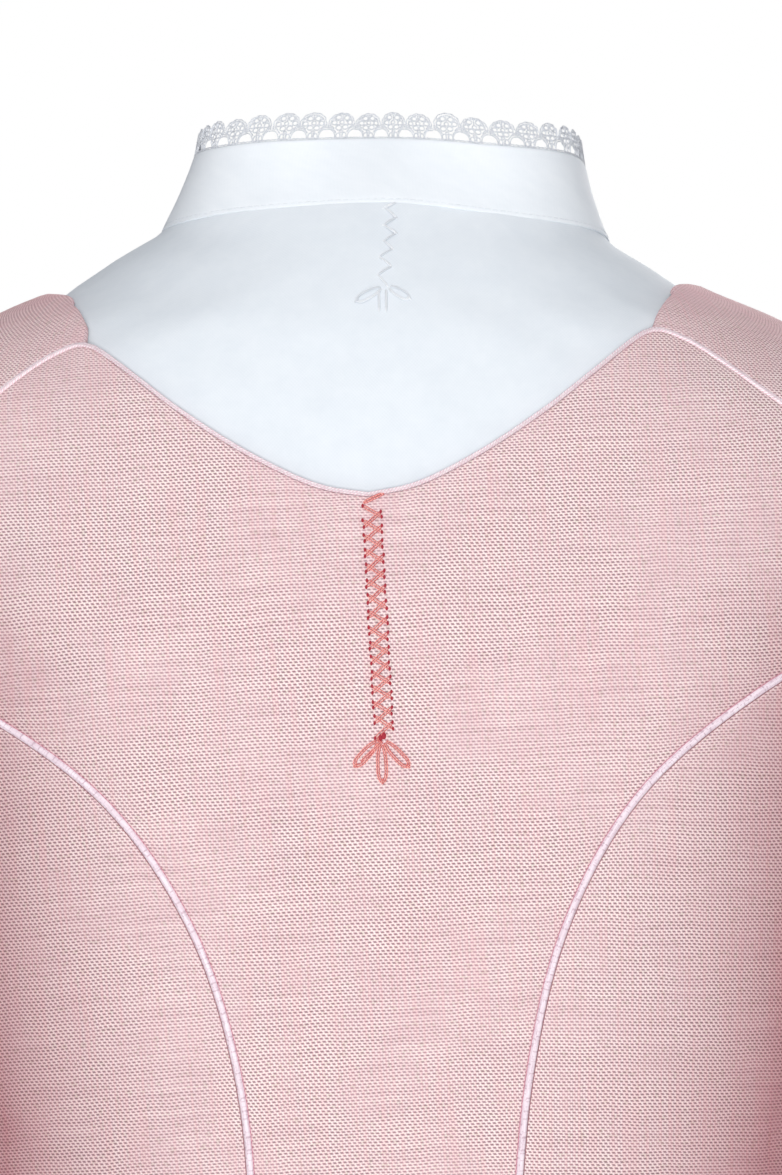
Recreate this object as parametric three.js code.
// A dirndl set: a pink linen dress with a fitted, piped bodice and a folded skirt, a white cotton
// blouse with a lace-edged stand collar and short puff sleeves, and a plain apron with its bow.
// It is worn by a general figure that is left out, so every piece is a thin wall round a hollow.
//
// Millimetres, +Z up. The front faces -Y, the back +Y, and +X is the wearer's left. The origin
// lies midway between the two side neck points, where the shoulders carry the set.
import * as THREE from 'three';

// ---------------------------------------------------------------- driving sizes
const WAIST_Z = -388;             // a back length of about 41 cm below the nape
const SKIRT_LENGTH = 700;
const BLOUSE_HEM_Z = -300;        // the blouse is cropped, and ends inside the bodice
const COTTON = { inner: 0, outer: 1 };        // how far each layer's faces lie from the figure
const LINEN = { inner: 3.2, outer: 4.8 };
const SEAM_GAP = 0.15;            // each side of a plain seam, so pieces lie 0.3 apart
const PIPING_RADIUS = 1.1;
const PIPING_LIFT = 4.4;          // the cord's middle above the figure
const PIPED_EDGE = PIPING_RADIUS + 0.3;
const COLLAR_WALL = 1.4;
const COLLAR_HEIGHT = 27;
const COLLAR_OPENING = 0.035;     // half the gap at centre front, as a turn
const OVERLAP_X = 9;              // the right fronts pass the middle by this much
const LACE = { height: 8, wall: 1, scallops: 43, dip: 2.4, lift: 0.8 };
const SIDE = Math.PI / 2;         // the turn from centre back to the side
const FRONT = Math.PI;            // and to centre front

// The figure that fills the clothes: level sections, with half width, depth behind and in front
// of the shoulder line, and squareness (2 is an ellipse).
const FIGURE = [
  { z: 14, side: 62, back: 46, front: 22, square: 2.1 },
  { z: 0, side: 68, back: 57, front: 31, square: 2.1 },
  { z: -9, side: 81.5, back: 63.5, front: 37, square: 2.15 },
  { z: -18, side: 95.5, back: 70, front: 43, square: 2.2 },
  { z: -28.5, side: 120, back: 76.5, front: 50, square: 2.3 },
  { z: -42, side: 144, back: 82.5, front: 57.5, square: 2.35 },
  { z: -53, side: 159, back: 87, front: 64, square: 2.4 },
  { z: -66, side: 169, back: 91.5, front: 72, square: 2.4 },
  { z: -85, side: 174, back: 97, front: 84, square: 2.4 },
  { z: -120, side: 168, back: 105, front: 103, square: 2.4 },
  { z: -170, side: 158, back: 107, front: 123, square: 2.4 },
  { z: -235, side: 150, back: 102, front: 131, square: 2.35 },
  { z: -300, side: 137, back: 91, front: 114, square: 2.3 },
  { z: -345, side: 129, back: 84, front: 101, square: 2.25 },
  { z: WAIST_Z, side: 127, back: 82, front: 96, square: 2.2 },
  { z: WAIST_Z - 40, side: 137, back: 90, front: 104, square: 2.2 },
];

// The seam of the blouse's neck and the lean of its stand collar, by degrees from centre back.
const NECK_SEAM = [
  { turn: 0, z: 9.5 }, { turn: 45, z: 5.5 }, { turn: 90, z: 0 }, { turn: 135, z: -27 }, { turn: 180, z: -50 },
];
const COLLAR = [
  { turn: 0, lean: 38 }, { turn: 50, lean: 29 }, { turn: 90, lean: 20 }, { turn: 180, lean: 26 },
];

// The bodice's back, half of it, as lines across x and down z.
const BACK_NECKLINE = [
  { x: 0, z: -80.6 }, { x: 14, z: -78 }, { x: 31, z: -70.2 }, { x: 53, z: -56.5 }, { x: 84.7, z: -32.4 },
];
const SHOULDER_SEAM = [{ x: 84.7, z: -32.4 }, { x: 98, z: -39 }, { x: 121, z: -55 }, { x: 150, z: -74 }];
const BACK_PRINCESS = [
  { x: 34.5, z: WAIST_Z }, { x: 38, z: -320 }, { x: 43.2, z: -254 }, { x: 56, z: -208 },
  { x: 79.5, z: -170.5 }, { x: 119, z: -139.5 }, { x: 152, z: -123 },
];
// The dress sits a little askew on the shoulders: it slips sideways and dips on that side.
const ASKEW = { slip: 5, dip: 0.027, from: -280, to: -110 };

// The bodice's front: the neckline from the ridge of the shoulder down to the middle.
const FRONT_NECKLINE = [
  { x: 94, z: -30 }, { x: 92, z: -50 }, { x: 86, z: -85 }, { x: 73, z: -118 }, { x: 45, z: -146 },
  { x: 0, z: -157 },
];
// Where the front's neck edge and its armhole edge pass over the shoulder, seen from above.
const STRAP = {
  neck: [{ x: 94, y: -18 }, { x: 94.5, y: 0 }, { x: 93.5, y: 16 }, { x: 91.5, y: 31 }, { x: 88.5, y: 46 }],
  armhole: [{ x: 151, y: 0 }, { x: 152, y: 16 }, { x: 152.5, y: 31 }, { x: 152, y: 45 }],
};
const FRONT_PRINCESS = [
  { x: 62, z: WAIST_Z }, { x: 68, z: -345 }, { x: 80, z: -290 }, { x: 88, z: -235 }, { x: 96, z: -175 },
  { x: 117, z: -135 }, { x: 137, z: -118 },
];

// Armholes, in degrees behind (+) or in front (-) of the side line. The bodice's is cut in from
// the shoulder's end, and the blouse's lies outside it.
const BODICE_ARMHOLE = {
  back: [{ turn: 21.5, z: -74 }, { turn: 21.5, z: -97 }, { turn: 20, z: -123 }],
  underBack: [{ turn: 20, z: -123 }, { turn: 17, z: -155 }, { turn: 10.5, z: -190 }, { turn: 0, z: -208 }],
  underFront: [{ turn: 0, z: -208 }, { turn: -12, z: -192 }, { turn: -21, z: -160 }, { turn: -25, z: -118 }],
  front: [{ turn: -25, z: -118 }, { turn: -25, z: -85 }, { turn: -16, z: -56 }, { turn: 0, z: -43 }],
};
const BLOUSE_ARMHOLE = {
  back: [
    { turn: 0, z: -61 }, { turn: 10, z: -80 }, { turn: 12, z: -110 }, { turn: 8, z: -160 },
    { turn: 0, z: -190 },
  ],
  front: [
    { turn: 0, z: -61 }, { turn: -13, z: -78 }, { turn: -19, z: -110 }, { turn: -13, z: -162 },
    { turn: 0, z: -190 },
  ],
};

// The skirt's level sections below the waist, and how deep its folds are there.
const SKIRT = [
  { drop: 0, side: 131, back: 86, front: 100, fold: 1.5 },
  { drop: 16, side: 138.5, back: 94.5, front: 106.5, fold: 3.5 },
  { drop: 80, side: 162, back: 122, front: 127, fold: 8.5 },
  { drop: 215, side: 192, back: 157, front: 156, fold: 14 },
  { drop: 430, side: 227, back: 197, front: 192, fold: 19 },
  { drop: SKIRT_LENGTH, side: 260, back: 234, front: 230, fold: 23 },
];
const SKIRT_SQUARE = 2.1;
const SKIRT_WALL = 2;
const FOLDS = 14;
const STEPS_A_FOLD = 5;

// The apron: its band's top and bottom, its hem, and how far round it reaches each way.
const APRON = { topDrop: 16, hemDrop: 655, reach: 14.5, wall: 1.6, clear: 0.4 };
const BAND = [{ z: WAIST_Z + 16, lift: 6.2 }, { z: WAIST_Z - 1, lift: 9 }, { z: WAIST_Z - 12, lift: 15 }];
const BAND_WALL = 2;
const BOW = { turn: 148, z: WAIST_Z + 1, wall: 1.4, knot: { round: 12.6, up: 14, out: 8 } };
const LOOP = { start: 12.8, reach: 65, fat: 8, stand: 13, droop: 16, pinched: 8, wide: 17 };
const TAIL = { top: -14.6, length: 290, width: 30, spread: 0.16 };

// The sleeves: the cuff's middle, its axis' lean out from straight down, and its radius.
const CUFF = { x: 232, y: -6, z: -242, lean: 0.42, radius: 50, height: 18, wall: 1.6 };
const SLEEVE_LIFT = 2.3;           // the sleeve's head stands this far off the figure
const SLEEVE = [
  { along: 0, swell: 0, ripple: 0 },
  { along: 0.12, swell: 14, ripple: 1.2 },
  { along: 0.45, swell: 25, ripple: 1.8 },
  { along: 0.82, swell: 18, ripple: 2.2 },
  { along: 1, swell: 1, ripple: 0.8 },
];

const BUTTONS = {
  lift: 0.5,
  bodice: { radius: 6, height: 3.4, count: 7 },
  blouse: { radius: 4.5, height: 2.4, first: -66, pitch: -24, count: 4 },
};

// ---------------------------------------------------------------- materials
const cloth = (color, roughness) => new THREE.MeshStandardMaterial({ color, roughness, metalness: 0 });
const LINEN_PINK = cloth(0xe6c3c6, 0.85);
const PIPING_PINK = cloth(0xf1dbe3, 0.45);
const COTTON_WHITE = cloth(0xeef2f7, 0.8);
const LACE_WHITE = cloth(0xf6f8fb, 0.7);
const APRON_ROSE = cloth(0xf1e4e6, 0.6);
const BUTTON_PINK = cloth(0xeddde2, 0.3);

// ---------------------------------------------------------------- curves
// A smooth function through a table's rows that never overshoots them.
function smoothColumn(rows, key, value) {
  const xs = rows.map((row) => row[key]);
  const ys = rows.map((row) => row[value]);
  const slopes = xs.slice(1).map((x, i) => (ys[i + 1] - ys[i]) / (x - xs[i]));
  const tangent = xs.map((_, i) => {
    const before = slopes[Math.max(i - 1, 0)];
    const after = slopes[Math.min(i, slopes.length - 1)];
    return before * after <= 0 ? 0 : (2 * before * after) / (before + after);
  });
  return (x) => {
    const rising = xs[1] > xs[0];
    let i = 0;
    while (i < slopes.length - 1 && (rising ? x > xs[i + 1] : x < xs[i + 1])) i++;
    const width = xs[i + 1] - xs[i];
    const t = THREE.MathUtils.clamp((x - xs[i]) / width, 0, 1);
    const s = 1 - t;
    return ys[i] * (1 + 2 * t) * s * s + ys[i + 1] * t * t * (3 - 2 * t)
      + width * (tangent[i] * t * s * s - tangent[i + 1] * t * t * s);
  };
}

// Points at even steps along a smooth line through [across, z] pairs.
function evenly(pairs, steps) {
  const spots = pairs.map(([across, z]) => new THREE.Vector3(across, z, 0));
  const line = new THREE.CatmullRomCurve3(spots, false, 'centripetal');
  return line.getSpacedPoints(steps).map((p) => [p.x, p.y]);
}

const straight = ([a, b], [c, d], steps) =>
  Array.from({ length: steps + 1 }, (_, i) => [a + ((c - a) * i) / steps, b + ((d - b) * i) / steps]);

const joined = (...lines) => lines.flatMap((line, i) => (i ? line.slice(1) : line));

// ---------------------------------------------------------------- the figure
const figure = Object.fromEntries(
  ['side', 'back', 'front', 'square'].map((key) => [key, smoothColumn(FIGURE, 'z', key)]));

// A point on a level section: turn is 0 at centre back, and positive towards the wearer's left.
function onSection(turn, z, { side, back, front, square }) {
  const depth = Math.cos(turn) >= 0 ? back : front;
  const across = Math.abs(Math.sin(turn)) / side;
  const deep = Math.abs(Math.cos(turn)) / depth;
  const r = (across ** square + deep ** square) ** (-1 / square);
  return new THREE.Vector3(r * Math.sin(turn), r * Math.cos(turn), z);
}

const sectionAt = (z) => ({
  side: figure.side(z), back: figure.back(z), front: figure.front(z), square: figure.square(z),
});
const onFigure = (turn, z) => onSection(turn, z, sectionAt(z));

// The way out of a surface at [turn, z].
function outward(surface, turn, z) {
  const step = 1e-3;
  const up = surface(turn, z + step * 100).sub(surface(turn, z - step * 100));
  const round = surface(turn + step, z).sub(surface(turn - step, z));
  return up.cross(round).normalize();
}

// The turn of a point of the back or the front of the figure at x and z.
function turnAt(x, z, part) {
  const { side, square } = sectionAt(z);
  const depth = figure[part](z);
  const y = depth * Math.max(1 - Math.min(Math.abs(x) / side, 1) ** square, 0) ** (1 / square);
  return Math.atan2(x, part === 'back' ? y : -y);
}

// The height of the shoulders at a point seen from above.
function shoulderZ(x, y) {
  let low = -110;
  let high = 14;
  for (let k = 0; k < 20; k++) {
    const z = (low + high) / 2;
    const { side, back, front, square } = sectionAt(z);
    const reach = (Math.abs(x) / side) ** square + (Math.abs(y) / (y > 0 ? back : front)) ** square;
    if (reach < 1) low = z;
    else high = z;
  }
  return low;
}

// Where a point of the dress ends up as it is worn, a little askew.
function worn(x, z) {
  const k = THREE.MathUtils.smoothstep(z, ASKEW.from, ASKEW.to);
  return [x + ASKEW.slip * k, z - ASKEW.dip * x * k];
}

// Outlines of the dress on the back or the front, as [turn, z]; hand is 1 on the wearer's left.
function outline(rows, part, hand, steps) {
  return evenly(rows.map(({ x, z }) => [x * hand, z]), steps).map(([x, z]) => {
    const [wx, wz] = worn(x, z);
    return [turnAt(wx, wz, part), wz];
  });
}

const armholeLine = (rows, hand, steps) =>
  evenly(rows.map(({ turn, z }) => [turn, z]), steps)
    .map(([turn, z]) => [hand * (SIDE - THREE.MathUtils.degToRad(turn)), z]);

// ---------------------------------------------------------------- walls
// A grid of [turn, z] between four edge lines.
function between({ bottom, top, left, right }) {
  const columns = bottom.length - 1;
  const rows = left.length - 1;
  const corner = [bottom[0], bottom[columns], top[0], top[columns]];
  return bottom.map((_, i) => left.map((__, j) => {
    const u = i / columns;
    const v = j / rows;
    return [0, 1].map((k) => (1 - v) * bottom[i][k] + v * top[i][k] + (1 - u) * left[j][k] + u * right[j][k]
      - (1 - u) * (1 - v) * corner[0][k] - u * (1 - v) * corner[1][k]
      - (1 - u) * v * corner[2][k] - u * v * corner[3][k]);
  }));
}

// How far and which way a vertex of an edge moves in, square to the edge, by gap.
function pull(before, here, after, inside, gap) {
  const square = (tangent) => {
    const way = inside.clone().sub(here);
    return way.addScaledVector(tangent, -way.dot(tangent)).normalize();
  };
  const sides = [[before, here], [here, after]]
    .filter(([a, b]) => a.distanceToSquared(b) > 0)
    .map(([a, b]) => square(b.clone().sub(a).normalize()));
  const mean = sides.reduce((sum, n) => sum.add(n), new THREE.Vector3()).normalize();
  return { way: mean, by: gap / Math.max(mean.dot(sides[0]), 0.5) };
}

// Moves a panel's edges in, so that it clears its neighbours at the seams.
function insetEdges(grid, gaps) {
  const lastI = grid.length - 1;
  const lastJ = grid[0].length - 1;
  const at = (i, j) => grid[THREE.MathUtils.clamp(i, 0, lastI)][THREE.MathUtils.clamp(j, 0, lastJ)];
  const gapOf = (name, k) => (typeof gaps[name] === 'function' ? gaps[name](k) : gaps[name] ?? 0);
  return grid.map((column, i) => column.map((p, j) => {
    const pulls = [];
    if (i === 0) pulls.push(pull(at(0, j - 1), p, at(0, j + 1), at(1, j), gapOf('left', j)));
    if (i === lastI) pulls.push(pull(at(i, j - 1), p, at(i, j + 1), at(i - 1, j), gapOf('right', j)));
    if (j === 0) pulls.push(pull(at(i - 1, 0), p, at(i + 1, 0), at(i, 1), gapOf('bottom', i)));
    if (j === lastJ) pulls.push(pull(at(i - 1, j), p, at(i + 1, j), at(i, j - 1), gapOf('top', i)));
    const moved = p.clone();
    if (pulls.length === 1) moved.addScaledVector(pulls[0].way, pulls[0].by);
    if (pulls.length === 2) {
      const [a, b] = pulls;
      const c = a.way.dot(b.way);
      const scale = 1 / Math.max(1 - c * c, 0.2);
      moved.addScaledVector(a.way, (a.by - c * b.by) * scale);
      moved.addScaledVector(b.way, (b.by - c * a.by) * scale);
    }
    return moved;
  }));
}

// A closed wall between an outer and an inner grid of points, whose columns run round the figure.
function wall(outer, inner, closed = false) {
  const columns = outer.length;
  const rows = outer[0].length;
  const index = [];
  const at = (skin, i, j) => (skin * columns + (i % columns)) * rows + j;
  const quad = (a, b, c, d) => index.push(a, b, c, a, c, d);
  const lastColumn = closed ? columns : columns - 1;
  for (let i = 0; i < lastColumn; i++) {
    for (let j = 0; j < rows - 1; j++) {
      quad(at(0, i, j), at(0, i, j + 1), at(0, i + 1, j + 1), at(0, i + 1, j));
      quad(at(1, i, j), at(1, i + 1, j), at(1, i + 1, j + 1), at(1, i, j + 1));
    }
    quad(at(0, i, 0), at(0, i + 1, 0), at(1, i + 1, 0), at(1, i, 0));
    quad(at(0, i, rows - 1), at(1, i, rows - 1), at(1, i + 1, rows - 1), at(0, i + 1, rows - 1));
  }
  for (let j = 0; j < rows - 1 && !closed; j++) {
    quad(at(0, 0, j), at(1, 0, j), at(1, 0, j + 1), at(0, 0, j + 1));
    quad(at(0, lastColumn, j), at(0, lastColumn, j + 1), at(1, lastColumn, j + 1), at(1, lastColumn, j));
  }
  const points = [outer, inner].flat(2).flatMap((p) => p.toArray());
  return new THREE.BufferGeometry()
    .setAttribute('position', new THREE.Float32BufferAttribute(points, 3))
    .setIndex(index);
}

// A panel of cloth on the figure between four edge lines, its faces at the layer's two heights.
function panel(edges, layer, gaps) {
  const grid = between(edges);
  const base = insetEdges(grid.map((column) => column.map(([turn, z]) => onFigure(turn, z))), gaps);
  const ways = grid.map((column) => column.map(([turn, z]) => outward(onFigure, turn, z)));
  const skin = (height) =>
    base.map((column, i) => column.map((p, j) => p.clone().addScaledVector(ways[i][j], height)));
  return wall(skin(layer.outer), skin(layer.inner));
}

// A round cord whose middle runs through points, with the way out at each.
function cord(points, ways, radius, sides = 6) {
  const rings = points.map((p, i) => {
    const [before, after] = [points[Math.max(i - 1, 0)], points[Math.min(i + 1, points.length - 1)]];
    const along = after.clone().sub(before).normalize();
    const across = along.clone().cross(ways[i]).normalize();
    const out = across.clone().cross(along);
    return Array.from({ length: sides }, (_, k) => {
      const angle = (2 * Math.PI * k) / sides;
      const spot = p.clone().addScaledVector(out, radius * Math.cos(angle));
      return spot.addScaledVector(across, radius * Math.sin(angle));
    });
  });
  const index = [];
  for (let i = 0; i < rings.length - 1; i++)
    for (let k = 0; k < sides; k++) {
      const [a, b] = [i * sides + k, i * sides + ((k + 1) % sides)];
      index.push(a, b, a + sides, b, b + sides, a + sides);
    }
  for (let k = 1; k < sides - 1; k++) {
    const end = (rings.length - 1) * sides;
    index.push(0, k + 1, k, end, end + k, end + k + 1);
  }
  const points3 = rings.flat().flatMap((p) => p.toArray());
  return new THREE.BufferGeometry()
    .setAttribute('position', new THREE.Float32BufferAttribute(points3, 3))
    .setIndex(index);
}

const cordOnFigure = (line) => cord(
  line.map(([turn, z]) => onFigure(turn, z).addScaledVector(outward(onFigure, turn, z), PIPING_LIFT)),
  line.map(([turn, z]) => outward(onFigure, turn, z)), PIPING_RADIUS);

// A flat round button with a low dome, standing on a surface at [turn, z] at a height.
function button({ radius, height }, surface, turn, z, lift) {
  const profile = [
    [0, 0], [radius * 0.8, 0], [radius, height * 0.35], [radius * 0.9, height * 0.8], [0, height],
  ];
  const geometry = new THREE.LatheGeometry(profile.map(([r, y]) => new THREE.Vector2(r, y)), 10);
  const way = outward(surface, turn, z);
  const turned = new THREE.Quaternion().setFromUnitVectors(new THREE.Vector3(0, 1, 0), way);
  return geometry.applyQuaternion(turned).translate(...surface(turn, z).addScaledVector(way, lift).toArray());
}

// ---------------------------------------------------------------- the set
const dirndl = new THREE.Group();
dirndl.name = 'dirndl';
const garments = Object.fromEntries(['blouse', 'dress', 'apron'].map((name) => {
  const group = new THREE.Group();
  group.name = name;
  dirndl.add(group);
  return [name, group];
}));

function add(garment, name, geometry, material) {
  const mesh = new THREE.Mesh(geometry, material);
  mesh.name = name;
  garments[garment].add(mesh);
}

const HANDS = [{ name: 'left', hand: 1 }, { name: 'right', hand: -1 }];
const last = (line) => line[line.length - 1];
const reversed = (line) => [...line].reverse();

// Edges are drawn on the wearer's left, from the back round to the front. On the right they are
// mirrored, so the edge that was left is right.
function handed(hand, { bottom, top, near, far }) {
  if (hand > 0) return { bottom, top, left: near, right: far };
  return { bottom: reversed(bottom), top: reversed(top), left: far, right: near };
}
const handedGaps = (hand, near, far, rest) =>
  ({ ...rest, left: hand > 0 ? near : far, right: hand > 0 ? far : near });

// Lines that meet must share their ends, so a line takes them from its neighbours.
const withEnds = (line, first, end) => [first ?? line[0], ...line.slice(1, -1), end ?? last(line)];

// ---------------------------------------------------------------- dress: bodice
const PRINCESS_STEPS = 12;
const OVER_STEPS = 4;              // from the princess seam up to the shoulder seam, behind
const NECK_STEPS = 6;
const SHOULDER_STEPS = 5;
const SIDE_COLUMNS = 5;
const waistLine = (from, to, steps) => straight([from, WAIST_Z], [to, WAIST_Z], steps);
const princessBack = (hand) => outline(BACK_PRINCESS, 'back', hand, PRINCESS_STEPS);
const princessFront = (hand) => outline(FRONT_PRINCESS, 'front', hand, PRINCESS_STEPS);
const shoulderSeam = (hand) => outline(SHOULDER_SEAM, 'back', hand, SHOULDER_STEPS);
const backNeckline = (hand) => outline(BACK_NECKLINE, 'back', hand, NECK_STEPS);
const neckAndShoulders = () =>
  joined(reversed(shoulderSeam(-1)), reversed(backNeckline(-1)), backNeckline(1), shoulderSeam(1));
const armholeBack = (hand) => withEnds(reversed(armholeLine(BODICE_ARMHOLE.back, hand, OVER_STEPS)),
  last(princessBack(hand)), last(shoulderSeam(hand)));

function bodiceBack() {
  const side = (hand) => joined(princessBack(hand), armholeBack(hand));
  const top = neckAndShoulders();
  const bottom = waistLine(side(-1)[0][0], side(1)[0][0], top.length - 1);
  const piped = (j) => (j <= PRINCESS_STEPS ? PIPED_EDGE : 0);
  const gaps = { left: piped, right: piped, top: PIPED_EDGE };
  return panel({ bottom, top, left: side(-1), right: side(1) }, LINEN, gaps);
}

function bodiceSideBack(hand) {
  const near = princessBack(hand);
  const foot = last(BODICE_ARMHOLE.underBack).z;
  const far = straight([hand * SIDE, WAIST_Z], [hand * SIDE, foot], PRINCESS_STEPS);
  const top = withEnds(armholeLine(BODICE_ARMHOLE.underBack, hand, SIDE_COLUMNS), last(near));
  const bottom = waistLine(near[0][0], far[0][0], SIDE_COLUMNS);
  return panel(handed(hand, { bottom, top, near, far }), LINEN, handedGaps(hand, PIPED_EDGE, SEAM_GAP));
}

function bodiceSideFront(hand) {
  const foot = BODICE_ARMHOLE.underFront[0].z;
  const near = straight([hand * SIDE, WAIST_Z], [hand * SIDE, foot], PRINCESS_STEPS);
  const far = princessFront(hand);
  const top = withEnds(armholeLine(BODICE_ARMHOLE.underFront, hand, SIDE_COLUMNS), undefined, last(far));
  const bottom = waistLine(near[0][0], far[0][0], SIDE_COLUMNS);
  return panel(handed(hand, { bottom, top, near, far }), LINEN, handedGaps(hand, SEAM_GAP, SEAM_GAP));
}

// The front passes over the shoulder to the piped seam behind it. The right one overlaps the middle.
const MIDDLE_STEPS = 8;
const FRONT_NECK_STEPS = 9;
const FRONT_ARM_STEPS = 7;
function bodiceFront(hand) {
  const seam = shoulderSeam(hand);
  const over = (rows) => rows.map(({ x, y }) => [hand * x + ASKEW.slip, y])
    .map(([x, y]) => [Math.atan2(x, y), shoulderZ(x, y)]);
  const middleTurn = (z) => turnAt(OVERLAP_X, z, 'front') - (hand > 0 ? 0 : 2 * Math.PI);
  const neckline = outline(FRONT_NECKLINE, 'front', hand, FRONT_NECK_STEPS);
  const foot = last(neckline)[1];
  const middle = Array.from({ length: MIDDLE_STEPS + 1 }, (_, k) => k / MIDDLE_STEPS)
    .map((share) => WAIST_Z + (foot - WAIST_Z) * share)
    .map((z) => [middleTurn(z), z]);
  const far = [...middle, ...reversed(neckline).slice(1), ...over(STRAP.neck), seam[0]];
  const [crest, ...behind] = over(STRAP.armhole);
  const line = armholeLine(BODICE_ARMHOLE.front, hand, FRONT_ARM_STEPS);
  const armhole = withEnds(line, last(princessFront(hand)), crest);
  const near = [...joined(princessFront(hand), armhole), ...behind, last(seam)];
  const bottom = waistLine(near[0][0], far[0][0], SHOULDER_STEPS);
  const edges = handed(hand, { bottom, top: reversed(seam), near, far });
  return panel(edges, LINEN, handedGaps(hand, (j) => (j <= PRINCESS_STEPS ? SEAM_GAP : 0),
    (j) => (j <= MIDDLE_STEPS ? SEAM_GAP : 0), { top: PIPED_EDGE }));
}

add('dress', 'bodice_back', bodiceBack(), LINEN_PINK);
for (const { name, hand } of HANDS) {
  add('dress', `bodice_side_back_${name}`, bodiceSideBack(hand), LINEN_PINK);
  add('dress', `bodice_side_front_${name}`, bodiceSideFront(hand), LINEN_PINK);
  add('dress', `bodice_front_${name}`, bodiceFront(hand), LINEN_PINK);
  add('dress', `piping_princess_${name}`, cordOnFigure(princessBack(hand)), PIPING_PINK);
}
add('dress', 'piping_neck_and_shoulders', cordOnFigure(neckAndShoulders()), PIPING_PINK);
for (let k = 1; k <= BUTTONS.bodice.count; k++) {
  const z = last(FRONT_NECKLINE).z + ((WAIST_Z - last(FRONT_NECKLINE).z) * k) / MIDDLE_STEPS;
  const shape = button(BUTTONS.bodice, onFigure, FRONT, z, LINEN.outer + BUTTONS.lift);
  add('dress', `bodice_button_${k}`, shape, BUTTON_PINK);
}

// ---------------------------------------------------------------- dress: skirt
const skirtAt = Object.fromEntries(
  ['side', 'back', 'front', 'fold'].map((key) => [key, smoothColumn(SKIRT, 'drop', key)]));
const foldWave = (turn) => 0.72 * Math.cos(FOLDS * turn + 0.9 * Math.sin(2 * turn + 0.5))
  + 0.28 * Math.cos(7 * turn + 1.1);

// The skirt's inner face at a turn and a drop below the waist.
function onSkirt(turn, drop) {
  const fold = skirtAt.fold(drop) * foldWave(turn);
  const section = { square: SKIRT_SQUARE };
  for (const key of ['side', 'back', 'front']) section[key] = skirtAt[key](drop) + fold;
  return onSection(turn, WAIST_Z - drop, section);
}
const outOfSkirt = (turn, drop) => {
  const down = onSkirt(turn, drop + 0.5).sub(onSkirt(turn, Math.max(drop - 0.5, 0)));
  return onSkirt(turn + 5e-4, drop).sub(onSkirt(turn - 5e-4, drop)).cross(down).normalize();
};

// A sheet that hangs like the skirt from one turn to another, at two heights above its inner face.
function hung(from, to, columns, drops, inner, outer) {
  const skin = (height) => Array.from({ length: columns + 1 }, (_, i) => from + ((to - from) * i) / columns)
    .map((turn) => drops.map((drop) => onSkirt(turn, drop).addScaledVector(outOfSkirt(turn, drop), height)));
  return wall(skin(outer), skin(inner));
}

const SKIRT_STEP = (2 * Math.PI) / (FOLDS * STEPS_A_FOLD);
const drops = [...SKIRT.map(({ drop }) => drop)].reverse();
const halfRound = (FOLDS * STEPS_A_FOLD) / 2;
const seamTurn = SEAM_GAP / SKIRT[0].side;
drops[drops.length - 1] = 1.4;
const skirtHalf = (from, to) => hung(from + seamTurn, to - seamTurn, halfRound, drops, 0, SKIRT_WALL);
add('dress', 'skirt_back', skirtHalf(-SIDE, SIDE), LINEN_PINK);
add('dress', 'skirt_front', skirtHalf(SIDE, 3 * SIDE), LINEN_PINK);

// ---------------------------------------------------------------- apron
const apronFrom = FRONT - APRON.reach * SKIRT_STEP;
const apronTo = FRONT + APRON.reach * SKIRT_STEP;
const apronFoot = SKIRT_WALL + APRON.clear;
const apronDrops = [APRON.hemDrop, ...drops.slice(1, -1), APRON.topDrop];
const apronCloth = hung(apronFrom, apronTo, 2 * APRON.reach, apronDrops, apronFoot, apronFoot + APRON.wall);
add('apron', 'apron_panel', apronCloth, APRON_ROSE);

// The band lies round the waist and its ends meet under the knot.
function waistband() {
  const knot = THREE.MathUtils.degToRad(BOW.turn);
  const gap = 0.15 / SKIRT[0].side;
  const columns = 32;
  const round = 2 * Math.PI - 2 * gap;
  const turns = Array.from({ length: columns + 1 }, (_, i) => knot + gap + (round * i) / columns);
  const skin = (more) => turns.map((turn) => reversed(BAND).map(({ z, lift }) => {
    const p = onFigure(turn, z);
    const way = new THREE.Vector3(p.x, p.y, 0).normalize();
    return p.addScaledVector(way, lift + more);
  }));
  return wall(skin(BAND_WALL), skin(0));
}
add('apron', 'apron_waistband', waistband(), APRON_ROSE);

// The bow's knot, loops and tails lie clear of the skirt's and the apron's folds.
function overFolds(turn, z) {
  const drop = Math.max(WAIST_Z - z, 0);
  const fold = skirtAt.fold(drop) + 8;
  const section = { square: SKIRT_SQUARE };
  for (const key of ['side', 'back', 'front']) section[key] = skirtAt[key](drop) + fold;
  return onSection(turn, z, section);
}

// A wall on the outer side of a grid of points.
function thickened(grid, thickness) {
  const { clamp } = THREE.MathUtils;
  const at = (i, j) => grid[clamp(i, 0, grid.length - 1)][clamp(j, 0, grid[0].length - 1)];
  const outer = grid.map((column, i) => column.map((p, j) => {
    const up = at(i, j + 1).clone().sub(at(i, j - 1));
    const round = at(i + 1, j).clone().sub(at(i - 1, j));
    return p.clone().addScaledVector(up.cross(round).normalize(), thickness);
  }));
  return wall(outer, grid);
}

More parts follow.
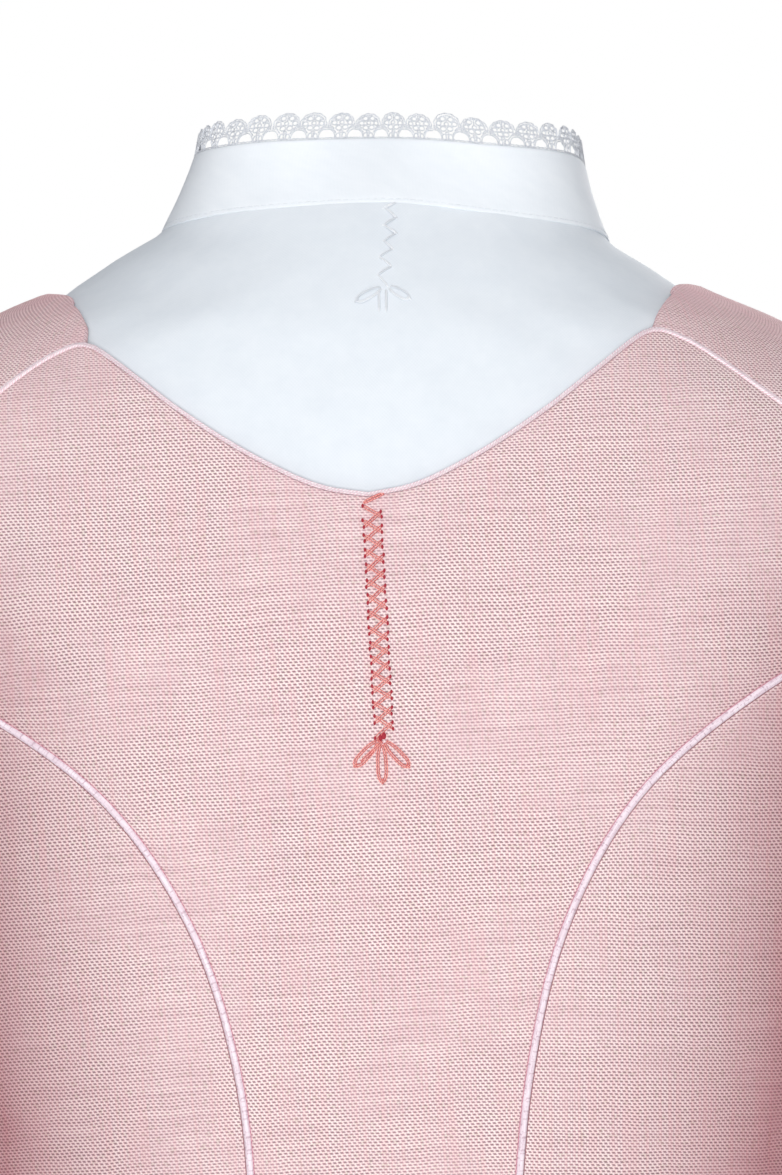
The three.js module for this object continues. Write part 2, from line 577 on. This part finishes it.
const bowTurn = THREE.MathUtils.degToRad(BOW.turn);
const bowRadius = SKIRT[0].side;
function bowLoop(way) {
  const steps = 14;
  const grid = Array.from({ length: steps + 1 }, (_, i) => 0.03 + (0.94 * i) / steps).map((t) => {
    const along = LOOP.start + (LOOP.reach * (1 - Math.cos(2 * Math.PI * t))) / 2;
    const out = LOOP.stand + LOOP.fat * Math.sin(2 * Math.PI * t) + 4 * (0.5 - t);
    const half = LOOP.pinched + (LOOP.wide - LOOP.pinched) * Math.sin(Math.PI * t);
    const middle = BOW.z - LOOP.droop * (along / (LOOP.start + LOOP.reach)) ** 2;
    const turn = bowTurn + (way * along) / bowRadius;
    return [-1, 0, 1].map((k) => {
      const p = overFolds(turn, middle + k * half);
      return p.addScaledVector(new THREE.Vector3(p.x, p.y, 0).normalize(), out);
    });
  });
  return thickened(way > 0 ? grid : reversed(grid), BOW.wall);
}

function bowTail(way) {
  const rows = 8;
  const turns = [0, 0.5, 1].map((k) => k * TAIL.width + 1.5);
  const sides = way > 0 ? turns : reversed(turns);
  const grid = sides.map((across) => Array.from({ length: rows + 1 }, (_, j) => {
    const down = 1 - j / rows;
    const z = BOW.z + TAIL.top - TAIL.length * down;
    return overFolds(bowTurn + (way * across) / (bowRadius + 50 * down) + way * TAIL.spread * down, z);
  }));
  return thickened(grid, BOW.wall);
}

function bowKnot() {
  const { round, up, out } = BOW.knot;
  const p = overFolds(bowTurn, BOW.z);
  const way = new THREE.Vector3(p.x, p.y, 0).normalize();
  const knot = new THREE.SphereGeometry(1, 10, 6).scale(round, up, out);
  const [y, z] = [new THREE.Vector3(0, 1, 0), new THREE.Vector3(0, 0, 1)];
  knot.applyQuaternion(new THREE.Quaternion().setFromUnitVectors(y, z));
  knot.rotateZ(Math.atan2(way.y, way.x) + Math.PI / 2);
  return knot.translate(...p.addScaledVector(way, out + 1).toArray());
}
add('apron', 'apron_bow_knot', bowKnot(), APRON_ROSE);
for (const { name, hand } of HANDS) {
  add('apron', `apron_bow_loop_${name}`, bowLoop(-hand), APRON_ROSE);
  add('apron', `apron_bow_tail_${name}`, bowTail(-hand), APRON_ROSE);
}

// ---------------------------------------------------------------- blouse
const RIDGE_STEPS = 4;
const BLOUSE_ARM_STEPS = 5;
const BLOUSE_SIDE_STEPS = 2;
const neckSeamZ = smoothColumn(NECK_SEAM, 'turn', 'z');
const neckSeam = (from, to, steps) => Array.from({ length: steps + 1 }, (_, i) => i / steps)
  .map((share) => from + (to - from) * share)
  .map((turn) => [turn, neckSeamZ(THREE.MathUtils.radToDeg(Math.abs(turn)))]);

// The edge of the blouse's back or front at the side: up the side seam, round the armhole, and
// along the shoulder to the neck.
function blouseSide(part, hand) {
  const rows = BLOUSE_ARMHOLE[part];
  const ridge = straight([hand * SIDE, rows[0].z], [hand * SIDE, 0], RIDGE_STEPS);
  return joined(
    straight([hand * SIDE, BLOUSE_HEM_Z], [hand * SIDE, last(rows).z], BLOUSE_SIDE_STEPS),
    reversed(armholeLine(rows, hand, BLOUSE_ARM_STEPS)), ridge);
}
const seamGaps = (j) => {
  const free = j > BLOUSE_SIDE_STEPS && j < BLOUSE_SIDE_STEPS + BLOUSE_ARM_STEPS;
  return free ? 0.1 : SEAM_GAP;
};

function blouseBack() {
  const columns = 16;
  const top = neckSeam(-SIDE, SIDE, columns);
  const bottom = straight([-SIDE, BLOUSE_HEM_Z], [SIDE, BLOUSE_HEM_Z], columns);
  return panel({ bottom, top, left: blouseSide('back', -1), right: blouseSide('back', 1) }, COTTON,
    { left: seamGaps, right: seamGaps, top: 0.2 });
}

function blouseFront(hand) {
  const columns = 7;
  const near = blouseSide('front', hand);
  const top = neckSeam(hand * SIDE, hand * FRONT, columns);
  const bottom = straight([hand * SIDE, BLOUSE_HEM_Z], [hand * FRONT, BLOUSE_HEM_Z], columns);
  const far = straight([hand * FRONT, BLOUSE_HEM_Z], last(top), near.length - 1);
  const gaps = handedGaps(hand, seamGaps, SEAM_GAP, { top: 0.2 });
  return panel(handed(hand, { bottom, top, near, far }), COTTON, gaps);
}

// The stand collar leans in from the neck seam. It is open at centre front.
const collarLean = smoothColumn(COLLAR, 'turn', 'lean');
function onCollar(turn, up) {
  const degrees = THREE.MathUtils.radToDeg(Math.abs(turn));
  const foot = onFigure(turn, neckSeamZ(degrees));
  const lean = THREE.MathUtils.degToRad(collarLean(degrees));
  const inward = new THREE.Vector3(-foot.x, -foot.y, 0).normalize();
  return foot.addScaledVector(inward, up * Math.sin(lean)).add(new THREE.Vector3(0, 0, up * Math.cos(lean)));
}

// A band round the collar's surface from one height to another, thick from inner to outer.
function collarBand(columns, heights, inner, outer) {
  const from = -FRONT + COLLAR_OPENING;
  const skin = (lift) => Array.from({ length: columns + 1 }, (_, i) => from + (2 * -from * i) / columns)
    .map((turn, i) => heights(i).map((up) =>
      onCollar(turn, up).addScaledVector(outward(onCollar, turn, up), lift)));
  return wall(skin(outer), skin(inner));
}
add('blouse', 'blouse_back', blouseBack(), COTTON_WHITE);
for (const { name, hand } of HANDS) add('blouse', `blouse_front_${name}`, blouseFront(hand), COTTON_WHITE);
add('blouse', 'collar_stand', collarBand(36, () => [1.4, 14, COLLAR_HEIGHT], 0, COLLAR_WALL), COTTON_WHITE);
const laceFoot = COLLAR_HEIGHT + LACE.lift;
add('blouse', 'collar_lace', collarBand(LACE.scallops * 4,
  (i) => [laceFoot, laceFoot + LACE.height - LACE.dip * [1, 0.25, 0, 0.25][i % 4]],
  0.2, 0.2 + LACE.wall), LACE_WHITE);

// A short puff sleeve from the armhole to its cuff. Column k runs round the arm from the top,
// down behind, under it, and up in front.
function sleeveFrame(hand) {
  const behind = armholeLine(BLOUSE_ARMHOLE.back, hand, BLOUSE_ARM_STEPS);
  const before = armholeLine(BLOUSE_ARMHOLE.front, hand, BLOUSE_ARM_STEPS);
  const edge = [...behind.slice(0, -1), ...reversed(before).slice(0, -1)]
    .map(([turn, z]) => onFigure(turn, z).addScaledVector(outward(onFigure, turn, z), SLEEVE_LIFT));
  const loop = edge.flatMap((p, k) => [p, p.clone().lerp(edge[(k + 1) % edge.length], 0.5)]);
  const axis = new THREE.Vector3(hand * Math.sin(CUFF.lean), 0, -Math.cos(CUFF.lean));
  const outOfAxis = new THREE.Vector3(hand * Math.cos(CUFF.lean), 0, Math.sin(CUFF.lean));
  const centre = new THREE.Vector3(hand * CUFF.x, CUFF.y, CUFF.z);
  const ways = loop.map((_, k) => {
    const angle = (2 * Math.PI * k) / loop.length;
    return outOfAxis.clone().multiplyScalar(Math.cos(angle)).add(new THREE.Vector3(0, Math.sin(angle), 0));
  });
  return { loop, axis, centre, ways };
}

function sleeve(hand) {
  const { loop, centre, ways } = sleeveFrame(hand);
  const skin = (lift) => {
    const columns = ways.map((way, k) => {
      const end = centre.clone().addScaledVector(way, CUFF.radius);
      const top = 0.5 + 0.5 * Math.cos((2 * Math.PI * k) / loop.length);
      return SLEEVE.map(({ along, swell, ripple }) => {
        const out = swell * (0.12 + 0.88 * top) + ripple * (k % 2 ? -1 : 1);
        return loop[k].clone().lerp(end, along).addScaledVector(way, out + lift);
      });
    });
    return columns;
  };
  const outer = skin(COTTON.outer);
  const inner = skin(0);
  return hand > 0 ? wall(outer, inner, true) : wall(reversed(outer), reversed(inner), true);
}

function cuff(hand) {
  const { axis, centre, ways } = sleeveFrame(hand);
  const skin = (lift) => ways.map((way) => [0.4, CUFF.height]
    .map((down) => centre.clone().addScaledVector(axis, down).addScaledVector(way, CUFF.radius + lift)));
  const outer = skin(CUFF.wall);
  const inner = skin(0);
  return hand > 0 ? wall(outer, inner, true) : wall(reversed(outer), reversed(inner), true);
}

for (const { name, hand } of HANDS) {
  add('blouse', `sleeve_${name}`, sleeve(hand), COTTON_WHITE);
  add('blouse', `cuff_${name}`, cuff(hand), COTTON_WHITE);
}
for (let k = 0; k < BUTTONS.blouse.count; k++) {
  const z = BUTTONS.blouse.first + BUTTONS.blouse.pitch * k;
  const shape = button(BUTTONS.blouse, onFigure, FRONT, z, COTTON.outer + BUTTONS.lift);
  add('blouse', `blouse_button_${k + 1}`, shape, LACE_WHITE);
}

export default dirndl;
